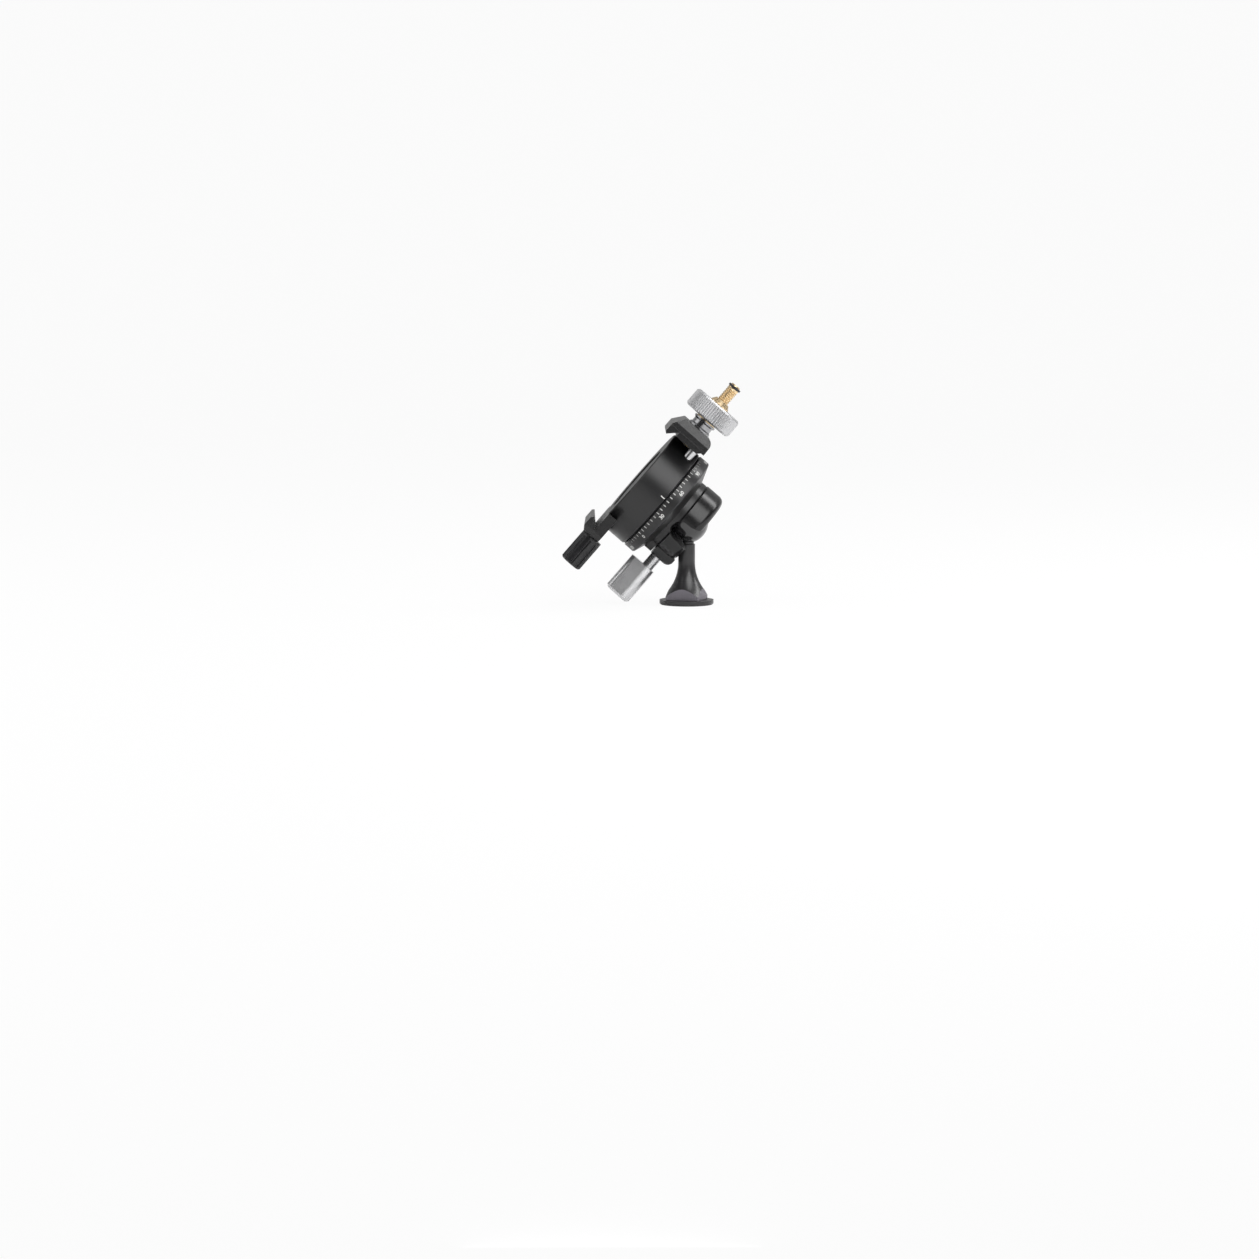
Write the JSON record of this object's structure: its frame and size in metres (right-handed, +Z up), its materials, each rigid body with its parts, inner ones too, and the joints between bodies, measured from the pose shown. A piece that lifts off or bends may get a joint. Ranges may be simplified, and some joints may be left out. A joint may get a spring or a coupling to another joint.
{
  "type": "tripod ball head",
  "caption": "Low-profile inverted ball head with ball and stem below, panning dovetail clamp, ball-lock lever and clamp knob; head leaning over on an upright stem.",
  "frame": {"origin": "centre of the foot's underside, at the mouth of the tripod thread", "axes": "+Z up along the stem, +X to the side the clamp knob points to, +Y away from the viewer"},
  "size_m": [0.0591, 0.0384, 0.0738],
  "materials": {
    "black": "satin black anodised",
    "ball_black": "polished black",
    "silver": "satin natural anodised",
    "steel": "machined",
    "brass": "machined",
    "bronze": "machined",
    "polymer": "matt",
    "dark_steel": "blackened"
  },
  "bodies": {
    "foot": {"foot": "black", "thread_insert": "steel", "stem_stud": "steel"},
    "ball": {"ball": "ball_black"},
    "seat": {"upper_seat": "polymer"},
    "housing": {"ball_housing": "black", "lower_seat": "polymer", "seat_spring": "steel", "pan_base": "black", "base_screws": "dark_steel", "pan_retainer": "steel", "retainer_screws": "dark_steel"},
    "shoe": {"lock_shoe": "brass"},
    "lever": {"lock_screw": "silver", "lock_lever": "silver", "lever_screw": "steel"},
    "clamp": {"clamp_body": "black", "pan_bearing": "bronze", "pan_washer": "polymer", "slip_ring": "polymer", "fixed_jaw": "black", "fixed_jaw_screws": "dark_steel", "clamp_stud": "brass", "stud_clip": "dark_steel", "guide_pins": "steel", "jaw_spring": "steel"},
    "jaw": {"moving_jaw": "black", "knob_collar": "silver", "thrust_washer": "brass"},
    "nut": {"clamp_knob": "silver", "knob_bush": "brass"},
    "plug": {"pan_shoe": "brass"},
    "pan_knob": {"pan_screw": "steel", "pan_knob": "black"}
  },
  "joints": [
    {"name": "swivel", "type": "hinge", "parent": "foot", "child": "ball", "pos_m": [0, 0, 0.0276], "axis": [0, 0, 1], "continuous": true},
    {"name": "tilt", "type": "hinge", "parent": "ball", "child": "seat", "pos_m": [0, 0, 0.0276], "axis": [0, 1, 0], "range_deg": [0, 49]},
    {"name": "spin", "type": "hinge", "parent": "seat", "child": "housing", "pos_m": [0, 0, 0.0276], "axis": [-0.7547, 0, 0.6561], "continuous": true},
    {"name": "lock_press", "type": "slide", "parent": "housing", "child": "shoe", "axis": [-0.6561, 0, -0.7547], "range_m": [0, 0.00029167]},
    {"name": "lock_turn", "type": "hinge", "parent": "shoe", "child": "lever", "pos_m": [-0.01771, 0, 0.00722], "axis": [-0.6561, 0, -0.7547], "range_deg": [0, 150]},
    {"name": "pan", "type": "hinge", "parent": "housing", "child": "clamp", "pos_m": [-0.01132, 0, 0.03744], "axis": [-0.7547, 0, 0.6561], "continuous": true},
    {"name": "jaw_slide", "type": "slide", "parent": "clamp", "child": "jaw", "axis": [0.6561, 0, 0.7547], "range_m": [-0.00025, 0.0024], "deforming": ["jaw_spring"]},
    {"name": "nut_turn", "type": "hinge", "parent": "jaw", "child": "nut", "pos_m": [0.00801, 0, 0.06303], "axis": [0.6561, 0, 0.7547], "range_deg": [-128.58, 1234.29]},
    {"name": "plug_press", "type": "slide", "parent": "clamp", "child": "plug", "axis": [-0.6561, 0, -0.7547], "range_m": [0, 0.0003]},
    {"name": "pan_knob_turn", "type": "hinge", "parent": "plug", "child": "pan_knob", "pos_m": [-0.03493, 0, 0.01821], "axis": [-0.6561, 0, -0.7547], "range_deg": [0, 240]}
  ],
  "couplings": [
    {"joint": "lock_turn", "follows": "lock_press", "rad_per_m": 8976},
    {"joint": "nut_turn", "follows": "jaw_slide", "rad_per_m": 8976},
    {"joint": "pan_knob_turn", "follows": "plug_press", "rad_per_m": 13963}
  ]
}
